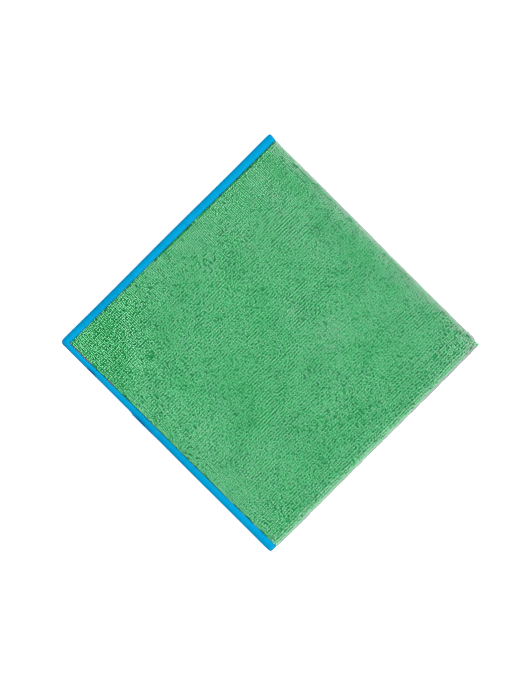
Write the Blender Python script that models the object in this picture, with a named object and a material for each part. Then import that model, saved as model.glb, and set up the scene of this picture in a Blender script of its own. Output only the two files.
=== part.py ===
"""A microfibre cloth with an overlocked edge, folded in half and in half again, lying on a surface.

The pieces are first laid out flat, in places (u, v) on the cloth and heights h above its middle plane.
fold() then takes every point round both folds, and settle() lets the folded stack lie unevenly.
The folded cloth has its four loose edges at -X and +Y, its first fold at +X and its second at -Y.
"""

import math
from collections import namedtuple

import bmesh
import bpy
import numpy as np

MM = 0.001

# The cloth laid out flat, over its binding
CLOTH_WIDTH = 400 * MM
CLOTH_LENGTH = 402 * MM
CLOTH_THICKNESS = 2.6 * MM
CORNER_RADIUS = 3.0 * MM

# The folded stack
LAYER_GAP = 0.4 * MM
LAYERS = 4
LAYER_PITCH = CLOTH_THICKNESS + LAYER_GAP
STACK_HEIGHT = (LAYERS - 1) * LAYER_PITCH + CLOTH_THICKNESS
FIRST_RADIUS = LAYER_PITCH / 2
SECOND_RADIUS = LAYER_PITCH
FIRST_STRAIGHT = (CLOTH_WIDTH - math.pi * FIRST_RADIUS) / 2
SECOND_STRAIGHT = (CLOTH_LENGTH - math.pi * SECOND_RADIUS) / 2
FOLDED_WIDTH = FIRST_STRAIGHT + FIRST_RADIUS + CLOTH_THICKNESS / 2
FOLDED_LENGTH = SECOND_STRAIGHT + SECOND_RADIUS + FIRST_RADIUS + CLOTH_THICKNESS / 2

# The binding wraps the cloth's rim, which is pinched thin inside it
PIECE_GAP = 0.4 * MM
BINDING_WALL = 0.5 * MM
PINCHED_THICKNESS = 1.0 * MM
PINCH_SLOPE = 1.3 * MM
RIM_INSET = BINDING_WALL + PIECE_GAP
CHANNEL_HALF = PINCHED_THICKNESS / 2 + PIECE_GAP
BINDING_HALF = CLOTH_THICKNESS / 2
LIP_ROUND = 0.3 * MM

# The overlock's width from one end of each side to the other, by its start, middle and end
SideWidth = namedtuple("SideWidth", "start middle end")
SIDE_WIDTHS = {
    "u-": SideWidth(4.1 * MM, 5.8 * MM, 5.5 * MM),
    "v-": SideWidth(5.4 * MM, 6.2 * MM, 5.6 * MM),
    "u+": SideWidth(5.6 * MM, 5.8 * MM, 5.5 * MM),
    "v+": SideWidth(5.5 * MM, 6.2 * MM, 5.6 * MM),
}

# Mesh cells
STRAIGHT_CELLS = 13
FIRST_BEND_CELLS = 6
SECOND_BEND_CELLS = 8
CORNER_CELLS = 3
SIDE_START = max(max(widths) for widths in SIDE_WIDTHS.values()) + PIECE_GAP + PINCH_SLOPE

# Along the -X edge the lower layers come out from under the top one at this Y, less so further forward
STEP_PLACE = 33 * MM
STEP_LENGTH = 3 * MM
STEP_FADE = 90 * MM

# How far the lowest layer stands out from the top one at each side, fading inwards over DRIFT_REACH
DRIFT_REACH = 45 * MM
LEFT_DRIFT_ABOVE_STEP = -1.1 * MM
LEFT_DRIFT_BELOW_STEP = 0.95 * MM
BACK_DRIFT = -0.4 * MM
RIGHT_DRIFT = -0.7 * MM

# Under the top layer each loose edge strays inwards along its length, no two alike
LAYER_STRAY = 0.35 * MM
STRAY_LENGTH = 95 * MM
STRAY_TURN = 5.0
STRAY_START = 1.75

# The outline and the middle layers wander a little along the sides, and the square is a little skewed
OUTLINE_WAVE = 0.1 * MM
OUTLINE_WAVELENGTH = 130 * MM
OUTLINE_SKEW = 0.5 * MM
MIDDLE_WAVE = 0.35 * MM
MIDDLE_WAVELENGTH = 85 * MM

# Shares of the height: how much the loose edges sag and the folds puff up. Two corners are pushed out
EDGE_SAG = 0.07
EDGE_SAG_REACH = 16 * MM
CORNER_SAG = 0.17
CORNER_SAG_REACH = 12 * MM
CORNER_SAG_EASE = 40 * MM
FOLD_PUFF = 0.035
FOLD_PUFF_REACH = 22 * MM
CORNER_BULGE = 0.6 * MM
CORNER_BULGE_REACH = 10 * MM
TIP_BULGE = 1.1 * MM
TIP_BULGE_REACH = 4 * MM

# Soft troughs (depth below 0) and ridges in the folded stack, by centre, reach and turn from +X
Hollow = namedtuple("Hollow", "x y length width turn depth")
HOLLOWS = [
    Hollow(x=-10 * MM, y=8 * MM, length=62 * MM, width=17 * MM, turn=38, depth=-0.95 * MM),
    Hollow(x=-56 * MM, y=52 * MM, length=15 * MM, width=8 * MM, turn=43, depth=-0.55 * MM),
    Hollow(x=-64 * MM, y=86 * MM, length=30 * MM, width=14 * MM, turn=-8, depth=-0.75 * MM),
    Hollow(x=48 * MM, y=-58 * MM, length=34 * MM, width=18 * MM, turn=-35, depth=-0.6 * MM),
    Hollow(x=-8 * MM, y=-80 * MM, length=34 * MM, width=14 * MM, turn=5, depth=-0.5 * MM),
    Hollow(x=34 * MM, y=-20 * MM, length=34 * MM, width=20 * MM, turn=30, depth=0.7 * MM),
    Hollow(x=55 * MM, y=55 * MM, length=44 * MM, width=22 * MM, turn=-30, depth=0.6 * MM),
    Hollow(x=-70 * MM, y=-58 * MM, length=34 * MM, width=22 * MM, turn=60, depth=0.55 * MM),
]


def ease(share):
    """0 at 0 and 1 at 1, level at both ends."""
    share = min(max(share, 0.0), 1.0)
    return share * share * (3 - 2 * share)


def near(distance, reach):
    """1 at distance 0, falling to 0 at reach."""
    return 1 - ease(distance / reach)


def droop(distance, reach):
    """1 at distance 0, falling steeply at first and to 0 at reach."""
    return max(0.0, 1 - distance / reach) ** 2


def half_turn(distance, height, straight, radius):
    """A strip's point after its far half is turned over: its place along the strip and its height.

    distance is measured from the strip's free end and height from its middle plane.
    """
    angle = (distance - straight) / radius
    if angle <= 0:
        return distance, height
    if angle <= math.pi:
        arm = radius - height
        return straight + arm * math.sin(angle), radius - arm * math.cos(angle)
    return straight - (angle - math.pi) * radius, 2 * radius - height


def fold(u, v, h):
    """The flat cloth's point (u, v, h) after both folds."""
    across, height = half_turn(CLOTH_WIDTH / 2 + u, h, FIRST_STRAIGHT, FIRST_RADIUS)
    along, height = half_turn(CLOTH_LENGTH / 2 - v, height - FIRST_RADIUS, SECOND_STRAIGHT, SECOND_RADIUS)
    x = across - FOLDED_WIDTH / 2
    y = FOLDED_LENGTH / 2 - along
    return x, y, height + FIRST_RADIUS + CLOTH_THICKNESS / 2


def hollow_depth(x, y):
    """The height that the troughs and ridges add at the top of the stack."""
    total = 0.0
    for hollow in HOLLOWS:
        turn = math.radians(hollow.turn)
        dx, dy = x - hollow.x, y - hollow.y
        along = (dx * math.cos(turn) + dy * math.sin(turn)) / hollow.length
        across = (dy * math.cos(turn) - dx * math.sin(turn)) / hollow.width
        total += hollow.depth * math.exp(-along * along - across * across)
    return total


def settle(x, y, z):
    """Lets the folded stack lie: its underside stays flat, and its layers shift and sink above it."""
    from_left = x + FOLDED_WIDTH / 2
    from_right = FOLDED_WIDTH / 2 - x
    from_back = FOLDED_LENGTH / 2 - y
    from_front = y + FOLDED_LENGTH / 2
    above_step = ease((y - STEP_PLACE) / STEP_LENGTH + 0.5)
    depth = 1 - z / STACK_HEIGHT

    below_step = LEFT_DRIFT_BELOW_STEP * near(STEP_PLACE - y, STEP_FADE)
    left_out = below_step + (LEFT_DRIFT_ABOVE_STEP - below_step) * above_step
    left_turn = math.tau * y / STRAY_LENGTH + STRAY_TURN * depth + STRAY_START
    left_out -= LAYER_STRAY * (1 - math.sin(left_turn))
    back_turn = math.tau * x / STRAY_LENGTH - STRAY_TURN * depth
    back_out = BACK_DRIFT - LAYER_STRAY * (1 - math.cos(back_turn))
    shift_x = -left_out * near(from_left, DRIFT_REACH) + RIGHT_DRIFT * near(from_right, DRIFT_REACH)
    shift_y = back_out * near(from_back, DRIFT_REACH)
    bulge = CORNER_BULGE * near(from_right, CORNER_BULGE_REACH) * near(from_back, CORNER_BULGE_REACH)
    tip = TIP_BULGE * near(from_right, TIP_BULGE_REACH) * near(from_front, TIP_BULGE_REACH)
    wave_x = OUTLINE_WAVE * math.sin(math.tau * y / OUTLINE_WAVELENGTH)
    wave_y = OUTLINE_WAVE * math.cos(math.tau * x / OUTLINE_WAVELENGTH) - OUTLINE_SKEW * x / FOLDED_WIDTH

    loose_edge = max(droop(from_left, EDGE_SAG_REACH), droop(from_back, EDGE_SAG_REACH))
    folded_edge = max(near(from_right, FOLD_PUFF_REACH), near(from_front, FOLD_PUFF_REACH))
    share = 1 + hollow_depth(x, y) / STACK_HEIGHT - EDGE_SAG * loose_edge
    share += FOLD_PUFF * folded_edge * (1 - loose_edge)
    toward_corner = ease((y - STEP_PLACE) / CORNER_SAG_EASE)
    share -= CORNER_SAG * toward_corner * droop(from_left, CORNER_SAG_REACH)
    middle = math.sin(math.pi * min(max(z / STACK_HEIGHT, 0), 1))
    wander = math.sin(math.tau * (x + 0.6 * y) / MIDDLE_WAVELENGTH) * MIDDLE_WAVE * middle
    lie_x = x + shift_x * depth + bulge + tip + wave_x
    lie_y = y + shift_y * depth - tip + wave_y
    return lie_x, lie_y, z * share + wander


def side_width(side, along, half):
    """The binding's width at a place along one side, which runs from -half to half."""
    return float(np.interp(along, (-half, 0, half), SIDE_WIDTHS[side]))


def stretch(start, end, cells):
    """Places from start to end at equal steps, with start left out."""
    return [start + (end - start) * step / cells for step in range(1, cells + 1)]


def half_places(straight, radius, bend_cells, step_from_edge=None):
    """Places from a side's SIDE_START to the middle of the fold, measured from the loose edge."""
    places = [SIDE_START]
    if step_from_edge is not None:
        step_start = step_from_edge - STEP_LENGTH / 2
        share = (step_start - SIDE_START) / (straight - SIDE_START)
        cells = round(STRAIGHT_CELLS * share)
        places += stretch(SIDE_START, step_start, cells)
        places += stretch(step_start, step_start + STEP_LENGTH, 1)
        places += stretch(places[-1], straight, STRAIGHT_CELLS - cells)
    else:
        places += stretch(SIDE_START, straight, STRAIGHT_CELLS)
    return places + stretch(straight, straight + math.pi * radius / 2, bend_cells // 2)


def mirrored(places, length):
    """Places over the whole length, about its middle, from those of its first half."""
    first = [place - length / 2 for place in places]
    return first + [-place for place in reversed(first[:-1])]


U_PLACES = mirrored(half_places(FIRST_STRAIGHT, FIRST_RADIUS, FIRST_BEND_CELLS), CLOTH_WIDTH)
V_PLACES = mirrored(
    half_places(SECOND_STRAIGHT, SECOND_RADIUS, SECOND_BEND_CELLS, FOLDED_LENGTH / 2 - STEP_PLACE),
    CLOTH_LENGTH,
)


def panel_place(index, places, half, along, other_half, sides):
    """Where the panel's grid line lies: its rim, the end of its pinch, or one of the shared places."""
    last = len(places) + 3
    if index > last - index:
        return -panel_place(last - index, places, half, along, other_half, sides[::-1])
    if index == 0:
        return RIM_INSET - half
    if index == 1:
        return side_width(sides[0], along, other_half) + PIECE_GAP - half
    return places[index - 2]


def panel_point(column, row, side):
    """The panel's folded point on one face (side 1 or -1) of its grid."""
    last_column, last_row = len(U_PLACES) + 3, len(V_PLACES) + 3
    half_u, half_v = CLOTH_WIDTH / 2, CLOTH_LENGTH / 2
    near_u = np.clip((column / last_column * 2 - 1) * half_u, -half_u, half_u)
    near_v = np.clip((row / last_row * 2 - 1) * half_v, -half_v, half_v)
    u = panel_place(column, U_PLACES, half_u, near_v, half_v, ("u-", "u+"))
    v = panel_place(row, V_PLACES, half_v, near_u, half_u, ("v-", "v+"))
    at_u_rim = column in (0, last_column)
    at_v_rim = row in (0, last_row)
    if at_u_rim and at_v_rim:
        pull = (CORNER_RADIUS - RIM_INSET) * (1 - math.sqrt(0.5))
        u -= math.copysign(pull, u)
        v -= math.copysign(pull, v)
    pinched = min(column, last_column - column, row, last_row - row) < 2
    thickness = PINCHED_THICKNESS if pinched else CLOTH_THICKNESS
    return settle(*fold(u, v, side * thickness / 2))


def binding_section():
    """The C section, up over the top from the outer face and back under: (share of width, offset, height)."""
    upper = [
        (0, 0.15 * MM, 0.75 * MM),
        (0, 0.8 * MM, BINDING_HALF),
        (1, -LIP_ROUND, BINDING_HALF),
        (1, 0, CHANNEL_HALF),
        (0, BINDING_WALL, CHANNEL_HALF),
    ]
    lower = [(share, offset, -height) for share, offset, height in reversed(upper)]
    return [(0, 0, 0)] + upper + lower


def binding_outline():
    """Stations round the flat cloth's rim, counter-clockwise: each gives the point at an offset inwards."""
    half_u, half_v = CLOTH_WIDTH / 2, CLOTH_LENGTH / 2

    def on_u_side(sign, v):
        name = "u+" if sign > 0 else "u-"
        return lambda share, offset: (
            sign * (half_u - offset - share * side_width(name, v, half_v)),
            v,
        )

    def on_v_side(sign, u):
        name = "v+" if sign > 0 else "v-"
        return lambda share, offset: (
            u,
            sign * (half_v - offset - share * side_width(name, u, half_u)),
        )

    def at_corner(sign_u, sign_v, angle):
        def place(share, offset):
            if share == 0:
                arm = CORNER_RADIUS - offset
                return (
                    sign_u * (half_u - CORNER_RADIUS) + arm * math.cos(angle),
                    sign_v * (half_v - CORNER_RADIUS) + arm * math.sin(angle),
                )
            inner_u = on_u_side(sign_u, sign_v * half_v)(share, offset)[0]
            inner_v = on_v_side(sign_v, sign_u * half_u)(share, offset)[1]
            return inner_u, inner_v

        return place

    def corner(sign_u, sign_v, first_angle):
        steps = range(CORNER_CELLS + 1)
        return [at_corner(sign_u, sign_v, first_angle + math.pi / 2 * step / CORNER_CELLS) for step in steps]

    stations = [on_u_side(1, v) for v in V_PLACES]
    stations += corner(1, 1, 0)
    stations += [on_v_side(1, u) for u in reversed(U_PLACES)]
    stations += corner(-1, 1, math.pi / 2)
    stations += [on_u_side(-1, v) for v in reversed(V_PLACES)]
    stations += corner(-1, -1, math.pi)
    stations += [on_v_side(-1, u) for u in U_PLACES]
    stations += corner(1, -1, 3 * math.pi / 2)
    return stations


def make_material(name, colour, roughness, sheen):
    material = bpy.data.materials.new(name)
    material.use_nodes = True
    shader = material.node_tree.nodes["Principled BSDF"]
    shader.inputs["Base Color"].default_value = (*colour, 1)
    shader.inputs["Roughness"].default_value = roughness
    shader.inputs["Metallic"].default_value = 0
    shader.inputs["Sheen Weight"].default_value = sheen
    material.diffuse_color = (*colour, 1)
    return material


def add_piece(name, bm, material, collection):
    mesh = bpy.data.meshes.new(name)
    bm.to_mesh(mesh)
    bm.free()
    mesh.shade_smooth()
    mesh.set_sharp_from_angle(angle=math.radians(40))
    mesh.materials.append(material)
    piece = bpy.data.objects.new(name, mesh)
    collection.objects.link(piece)
    return piece


def make_panel(collection):
    """The looped cloth: a flat grid given two faces, then folded."""
    bm = bmesh.new()
    columns, rows = len(U_PLACES) + 3, len(V_PLACES) + 3
    bmesh.ops.create_grid(bm, x_segments=columns, y_segments=rows, size=0.5)
    lower = bm.faces[:]
    upper = bmesh.ops.extrude_face_region(bm, geom=lower)["geom"]
    for item in upper:
        if isinstance(item, bmesh.types.BMVert):
            item.co.z = 1
    bmesh.ops.recalc_face_normals(bm, faces=bm.faces[:])
    for vert in bm.verts:
        column = round((vert.co.x + 0.5) * columns)
        row = round((vert.co.y + 0.5) * rows)
        vert.co = panel_point(column, row, 1 if vert.co.z > 0.5 else -1)
    green = make_material("green_loops", (0.091, 0.434, 0.184), 0.95, 0.4)
    return add_piece("cloth_panel", bm, green, collection)


def make_binding(collection):
    """The overlocked edge: a ring whose section is carried round the rim, then folded."""
    section, stations = binding_section(), binding_outline()
    bpy.ops.mesh.primitive_torus_add(
        major_segments=len(stations), minor_segments=len(section), major_radius=1, minor_radius=0.2
    )
    ring = bpy.context.object
    bm = bmesh.new()
    bm.from_mesh(ring.data)
    bpy.data.objects.remove(ring)
    for vert in bm.verts:
        station, corner = divmod(vert.index, len(section))
        share, offset, height = section[corner]
        u, v = stations[station](share, offset)
        vert.co = settle(*fold(u, v, height))
    bmesh.ops.remove_doubles(bm, verts=bm.verts[:], dist=0.01 * MM)
    blue = make_material("blue_overlock", (0.0021, 0.347, 0.631), 0.6, 0.15)
    return add_piece("edge_binding", bm, blue, collection)


def main():
    for old in list(bpy.data.objects):
        bpy.data.objects.remove(old)
    collection = bpy.data.collections.new("microfibre_cloth")
    bpy.context.scene.collection.children.link(collection)
    make_panel(collection)
    make_binding(collection)


main()
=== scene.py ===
"""The looks of a folded microfibre cloth: looped pile, overlock threads, materials, light and camera.

Every piece is made on the cloth laid out flat, in places (u, v) and heights h above its middle plane.
It is then carried round the same two folds and into the same uneven lie as the solids, so that it
stays where they are.
"""

import math
from collections import namedtuple

import bpy
import numpy as np
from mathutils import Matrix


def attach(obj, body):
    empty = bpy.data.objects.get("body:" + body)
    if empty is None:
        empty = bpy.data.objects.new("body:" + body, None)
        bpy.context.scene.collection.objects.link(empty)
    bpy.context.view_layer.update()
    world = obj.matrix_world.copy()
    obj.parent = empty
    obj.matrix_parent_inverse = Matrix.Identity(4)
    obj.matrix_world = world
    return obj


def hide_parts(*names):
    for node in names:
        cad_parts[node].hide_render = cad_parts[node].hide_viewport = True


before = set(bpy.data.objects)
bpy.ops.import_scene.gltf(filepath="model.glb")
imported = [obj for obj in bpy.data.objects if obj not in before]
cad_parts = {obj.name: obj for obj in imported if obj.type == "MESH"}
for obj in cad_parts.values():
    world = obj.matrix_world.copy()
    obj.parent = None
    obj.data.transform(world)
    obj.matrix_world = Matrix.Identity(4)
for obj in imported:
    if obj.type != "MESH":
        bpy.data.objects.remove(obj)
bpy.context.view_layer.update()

MM = 0.001

# The cloth laid out flat, over its binding, and the folded stack: the solids' own sizes
CLOTH_WIDTH = 400 * MM
CLOTH_LENGTH = 402 * MM
CLOTH_THICKNESS = 2.6 * MM
CORNER_RADIUS = 3.0 * MM
LAYER_GAP = 0.4 * MM
LAYERS = 4
LAYER_PITCH = CLOTH_THICKNESS + LAYER_GAP
STACK_HEIGHT = (LAYERS - 1) * LAYER_PITCH + CLOTH_THICKNESS
FIRST_RADIUS = LAYER_PITCH / 2
SECOND_RADIUS = LAYER_PITCH
FIRST_STRAIGHT = (CLOTH_WIDTH - math.pi * FIRST_RADIUS) / 2
SECOND_STRAIGHT = (CLOTH_LENGTH - math.pi * SECOND_RADIUS) / 2
FOLDED_WIDTH = FIRST_STRAIGHT + FIRST_RADIUS + CLOTH_THICKNESS / 2
FOLDED_LENGTH = SECOND_STRAIGHT + SECOND_RADIUS + FIRST_RADIUS + CLOTH_THICKNESS / 2
HALF_WIDTH = CLOTH_WIDTH / 2
HALF_LENGTH = CLOTH_LENGTH / 2

# The binding and the rim pinched inside it
PIECE_GAP = 0.4 * MM
BINDING_WALL = 0.5 * MM
PINCHED_THICKNESS = 1.0 * MM
PINCH_SLOPE = 1.3 * MM
RIM_INSET = BINDING_WALL + PIECE_GAP
CHANNEL_HALF = PINCHED_THICKNESS / 2 + PIECE_GAP
BINDING_HALF = CLOTH_THICKNESS / 2
SideWidth = namedtuple("SideWidth", "start middle end")
SIDE_WIDTHS = {
    "u-": SideWidth(4.1 * MM, 5.8 * MM, 5.5 * MM),
    "v-": SideWidth(5.4 * MM, 6.2 * MM, 5.6 * MM),
    "u+": SideWidth(5.6 * MM, 5.8 * MM, 5.5 * MM),
    "v+": SideWidth(5.5 * MM, 6.2 * MM, 5.6 * MM),
}

# How the stack lies: the drift of its layers, its wandering outline and its sagging edges
STEP_PLACE = 33 * MM
STEP_LENGTH = 3 * MM
DRIFT_REACH = 45 * MM
LEFT_DRIFT_ABOVE_STEP = -1.1 * MM
LEFT_DRIFT_BELOW_STEP = 0.95 * MM
STEP_FADE = 90 * MM
BACK_DRIFT = -0.4 * MM
RIGHT_DRIFT = -0.7 * MM
LAYER_STRAY = 0.35 * MM
STRAY_LENGTH = 95 * MM
STRAY_TURN = 5.0
STRAY_START = 1.75
OUTLINE_WAVE = 0.1 * MM
OUTLINE_WAVELENGTH = 130 * MM
OUTLINE_SKEW = 0.5 * MM
MIDDLE_WAVE = 0.35 * MM
MIDDLE_WAVELENGTH = 85 * MM
EDGE_SAG = 0.07
EDGE_SAG_REACH = 16 * MM
CORNER_SAG = 0.17
CORNER_SAG_REACH = 12 * MM
CORNER_SAG_EASE = 40 * MM
FOLD_PUFF = 0.035
FOLD_PUFF_REACH = 22 * MM
CORNER_BULGE = 0.6 * MM
CORNER_BULGE_REACH = 10 * MM
TIP_BULGE = 1.1 * MM
TIP_BULGE_REACH = 4 * MM

# Soft troughs (depth below 0) and ridges, by centre, reach and turn from +X
Hollow = namedtuple("Hollow", "x y length width turn depth")
HOLLOWS = [
    Hollow(x=-10 * MM, y=8 * MM, length=62 * MM, width=17 * MM, turn=38, depth=-0.95 * MM),
    Hollow(x=-56 * MM, y=52 * MM, length=15 * MM, width=8 * MM, turn=43, depth=-0.55 * MM),
    Hollow(x=-64 * MM, y=86 * MM, length=30 * MM, width=14 * MM, turn=-8, depth=-0.75 * MM),
    Hollow(x=48 * MM, y=-58 * MM, length=34 * MM, width=18 * MM, turn=-35, depth=-0.6 * MM),
    Hollow(x=-8 * MM, y=-80 * MM, length=34 * MM, width=14 * MM, turn=5, depth=-0.5 * MM),
    Hollow(x=34 * MM, y=-20 * MM, length=34 * MM, width=20 * MM, turn=30, depth=0.7 * MM),
    Hollow(x=55 * MM, y=55 * MM, length=44 * MM, width=22 * MM, turn=-30, depth=0.6 * MM),
    Hollow(x=-70 * MM, y=-58 * MM, length=34 * MM, width=22 * MM, turn=60, depth=0.55 * MM),
]

# The looped pile: the loops' grid, their form, and how much each differs from the next
ROW_PITCH = 1.88 * MM
LOOP_PITCH = 1.25 * MM
LOOP_LENGTH = 0.8 * MM
LOOP_RADIUS = 0.42 * MM
LOOP_RINGS = (-0.38, -0.15, 0.15, 0.38)
LOOP_ANGLES = (-25, 32.5, 90, 147.5, 205)
LOOP_FOOT = -0.15 * MM
GROUND_HALF = 0.3 * MM
PILE_DEPTH = CLOTH_THICKNESS / 2 - GROUND_HALF
PROUD = 0.25 * MM
RUFFLE = 0.27 * MM
LOOPS_IN_A_PIECE = 5400

# How far the loops stray from their grid, each by itself and all together in long waves
STRAY_ALONG_ROW = 0.12 * MM
STRAY_ACROSS_ROW = 0.15 * MM
WANDER_ALONG_ROW = 0.5 * MM
WANDER_ACROSS_ROW = 0.25 * MM

# Where loops are missing, and where they are pressed down: beside the binding and at the folds' tip
MISSING_SHARE = 0.03
MISSING_AT_TIP = 0.5
RIM_CLEARANCE = 0.15 * MM
RIM_PRESS = 0.35 * MM
RIM_PRESS_REACH = 1.4 * MM
GROOVE_REACH = 3.5 * MM
TIP_PRESS = 0.9 * MM
TIP_V = HALF_LENGTH - SECOND_STRAIGHT

# The tufts that bridge the rows: their form, and the share of the loops that have one
BRIDGE_LENGTH = 1.9 * MM
BRIDGE_RADIUS = 0.35 * MM
BRIDGE_HEIGHT = 0.98 * MM
BRIDGE_TURN = 0.2
BRIDGED_SHARE = 0.60
BRIDGED_WHERE_CALM = 0.05
BRIDGED_AT_FOLDS = 0.2
BRIDGED_AT_RIM = 0.16

# At the folds the pile stands out further, and painted sheen makes it paler, from the fold inwards
FIRST_FOLD_PROUD = 0.9 * MM
SECOND_FOLD_PROUD = 1.1 * MM
FIRST_FOLD_PAINTED_SHEEN = 0.32
FIRST_PAINTED_SHEEN_REACH = 13 * MM
SECOND_FOLD_PAINTED_SHEEN = 0.12
SECOND_PAINTED_SHEEN_REACH = 5 * MM

# How light the nap is: at most, less by chance, more towards the first fold, and in waves
NAP_LIGHTEST = 0.275
NAP_SPREAD = 0.165
NAP_RISE = 0.08
NAP_RISE_REACH = 45 * MM
NapWave = namedtuple("NapWave", "amount length stretch seed")
NAP_WAVES = [
    NapWave(amount=0.02, length=16 * MM, stretch=1, seed=5),
    NapWave(amount=0.02, length=48 * MM, stretch=1, seed=7),
    NapWave(amount=0.04, length=2.6 * MM, stretch=6, seed=19),
]

# Patches of painted shade in the troughs and painted light on the ridges, on the top of the folded cloth,
# together with its nap lying darker and lighter
Patch = namedtuple("Patch", "x y length width turn tone")
SHADE_AND_NAP_PATCHES = [
    Patch(x=-73 * MM, y=88 * MM, length=11 * MM, width=9 * MM, turn=0, tone=-0.26),
    Patch(x=-82 * MM, y=64 * MM, length=14 * MM, width=9 * MM, turn=55, tone=-0.18),
    Patch(x=-93 * MM, y=48 * MM, length=9 * MM, width=8 * MM, turn=0, tone=-0.10),
    Patch(x=-62 * MM, y=22 * MM, length=16 * MM, width=7 * MM, turn=80, tone=-0.14),
    Patch(x=-50 * MM, y=54 * MM, length=10 * MM, width=7 * MM, turn=40, tone=-0.12),
    Patch(x=-32 * MM, y=-2 * MM, length=20 * MM, width=13 * MM, turn=60, tone=-0.16),
    Patch(x=-50 * MM, y=-28 * MM, length=13 * MM, width=10 * MM, turn=20, tone=-0.17),
    Patch(x=14 * MM, y=20 * MM, length=17 * MM, width=10 * MM, turn=42, tone=-0.17),
    Patch(x=-13 * MM, y=-27 * MM, length=12 * MM, width=9 * MM, turn=0, tone=-0.08),
    Patch(x=46 * MM, y=-53 * MM, length=17 * MM, width=9 * MM, turn=-35, tone=-0.12),
    Patch(x=-14 * MM, y=-77 * MM, length=32 * MM, width=8 * MM, turn=0, tone=-0.11),
    Patch(x=87 * MM, y=76 * MM, length=24 * MM, width=5 * MM, turn=90, tone=-0.13),
    Patch(x=86 * MM, y=-12 * MM, length=44 * MM, width=5 * MM, turn=90, tone=-0.09),
    Patch(x=-66 * MM, y=66 * MM, length=24 * MM, width=5 * MM, turn=62, tone=0.12),
    Patch(x=-79 * MM, y=-6 * MM, length=30 * MM, width=13 * MM, turn=90, tone=0.09),
    Patch(x=-72 * MM, y=-58 * MM, length=11 * MM, width=9 * MM, turn=0, tone=0.13),
    Patch(x=33 * MM, y=-22 * MM, length=12 * MM, width=9 * MM, turn=0, tone=0.18),
    Patch(x=25 * MM, y=4 * MM, length=9 * MM, width=7 * MM, turn=90, tone=0.12),
    Patch(x=38 * MM, y=66 * MM, length=15 * MM, width=6 * MM, turn=80, tone=0.13),
    Patch(x=65 * MM, y=46 * MM, length=15 * MM, width=8 * MM, turn=70, tone=0.12),
    Patch(x=73 * MM, y=76 * MM, length=24 * MM, width=6 * MM, turn=90, tone=0.11),
    Patch(x=66 * MM, y=20 * MM, length=12 * MM, width=6 * MM, turn=90, tone=0.11),
    Patch(x=16 * MM, y=-66 * MM, length=16 * MM, width=10 * MM, turn=0, tone=0.06),
    Patch(x=75 * MM, y=-83 * MM, length=20 * MM, width=8 * MM, turn=0, tone=0.07),
    Patch(x=-56 * MM, y=52 * MM, length=8 * MM, width=1.6 * MM, turn=42, tone=0.16),
    Patch(x=22 * MM, y=88 * MM, length=60 * MM, width=13 * MM, turn=0, tone=0.07),
    Patch(x=36 * MM, y=71 * MM, length=22 * MM, width=9 * MM, turn=0, tone=0.06),
    Patch(x=30 * MM, y=2 * MM, length=20 * MM, width=10 * MM, turn=90, tone=0.06),
    Patch(x=-90 * MM, y=-62 * MM, length=44 * MM, width=9 * MM, turn=90, tone=0.07),
    Patch(x=86 * MM, y=-92 * MM, length=16 * MM, width=9 * MM, turn=0, tone=0.07),
    Patch(x=92 * MM, y=-44 * MM, length=34 * MM, width=8 * MM, turn=90, tone=0.05),
]

# The overlock threads, and their route by the share of the band's width, inwards from there, and up
THREAD_PITCH = 1.2 * MM
THREAD_HALF_WIDTH = 0.78 * MM
THREAD_HEIGHT = 0.16 * MM
THREAD_SHOULDER = 0.45
THREAD_SLANT = 0.45 * MM
# How far in from the rim the threads' painted shade reaches
THREAD_RIM_REACH = 3.6 * MM
BAND_WIDTH = 5.4 * MM
SHORT_STITCH = 0.4 * MM
PEARL_PITCH = 2.0 * MM
PEARL_LENGTH = 1.1 * MM
PEARL_RADIUS = 0.3 * MM
PEARL_HEIGHT = 1.30 * MM
PEARL_INSET = 0.35 * MM
ThreadPoint = namedtuple("ThreadPoint", "share inward height along wide tall")

# Where the band is darker: painted shade at its left corner, in a navy sliver at its rim that stands for
# a lower layer in shadow, and at the step; and where it is paler
BAND_SHADES = [
    Patch(x=-100 * MM, y=97 * MM, length=2.2 * MM, width=0.7 * MM, turn=90, tone=-0.5),
    Patch(x=-100 * MM, y=71.5 * MM, length=4.0 * MM, width=1.0 * MM, turn=90, tone=-1.0),
    Patch(x=-100 * MM, y=25 * MM, length=8 * MM, width=1.8 * MM, turn=90, tone=-0.28),
    Patch(x=-97 * MM, y=25 * MM, length=9 * MM, width=4 * MM, turn=90, tone=-0.2),
    Patch(x=-97 * MM, y=-3 * MM, length=20 * MM, width=9 * MM, turn=90, tone=-0.13),
    Patch(x=-97 * MM, y=86 * MM, length=11 * MM, width=9 * MM, turn=90, tone=0.14),
    Patch(x=-60 * MM, y=97 * MM, length=24 * MM, width=4 * MM, turn=0, tone=-0.22),
]

# A brown-red thread shows along the band's inner edge, between these places from front to back
RedStitch = namedtuple("RedStitch", "start end")
RED_STITCHES = [
    RedStitch(start=54.5 * MM, end=60.0 * MM),
    RedStitch(start=76.0 * MM, end=84.0 * MM),
    RedStitch(start=85.5 * MM, end=89.5 * MM),
    RedStitch(start=90.8 * MM, end=92.8 * MM),
    RedStitch(start=93.9 * MM, end=95.6 * MM),
]
RED_RADIUS = 0.28 * MM
RED_HEIGHT = 1.05 * MM

# The pile's shade: painted shade and highlight by its height, its fibres, and painted sheen at its rims
# at the folds
CROWN_CURVE = 1.3
CROWN_SHADE = 0.60
FIBRE_SHADE = 0.6
FIBRE_MEAN = 0.22
SHADE_RANGE = 0.8
PALEST_NAP = 0.9
RIM_TILT = 0.7
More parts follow.
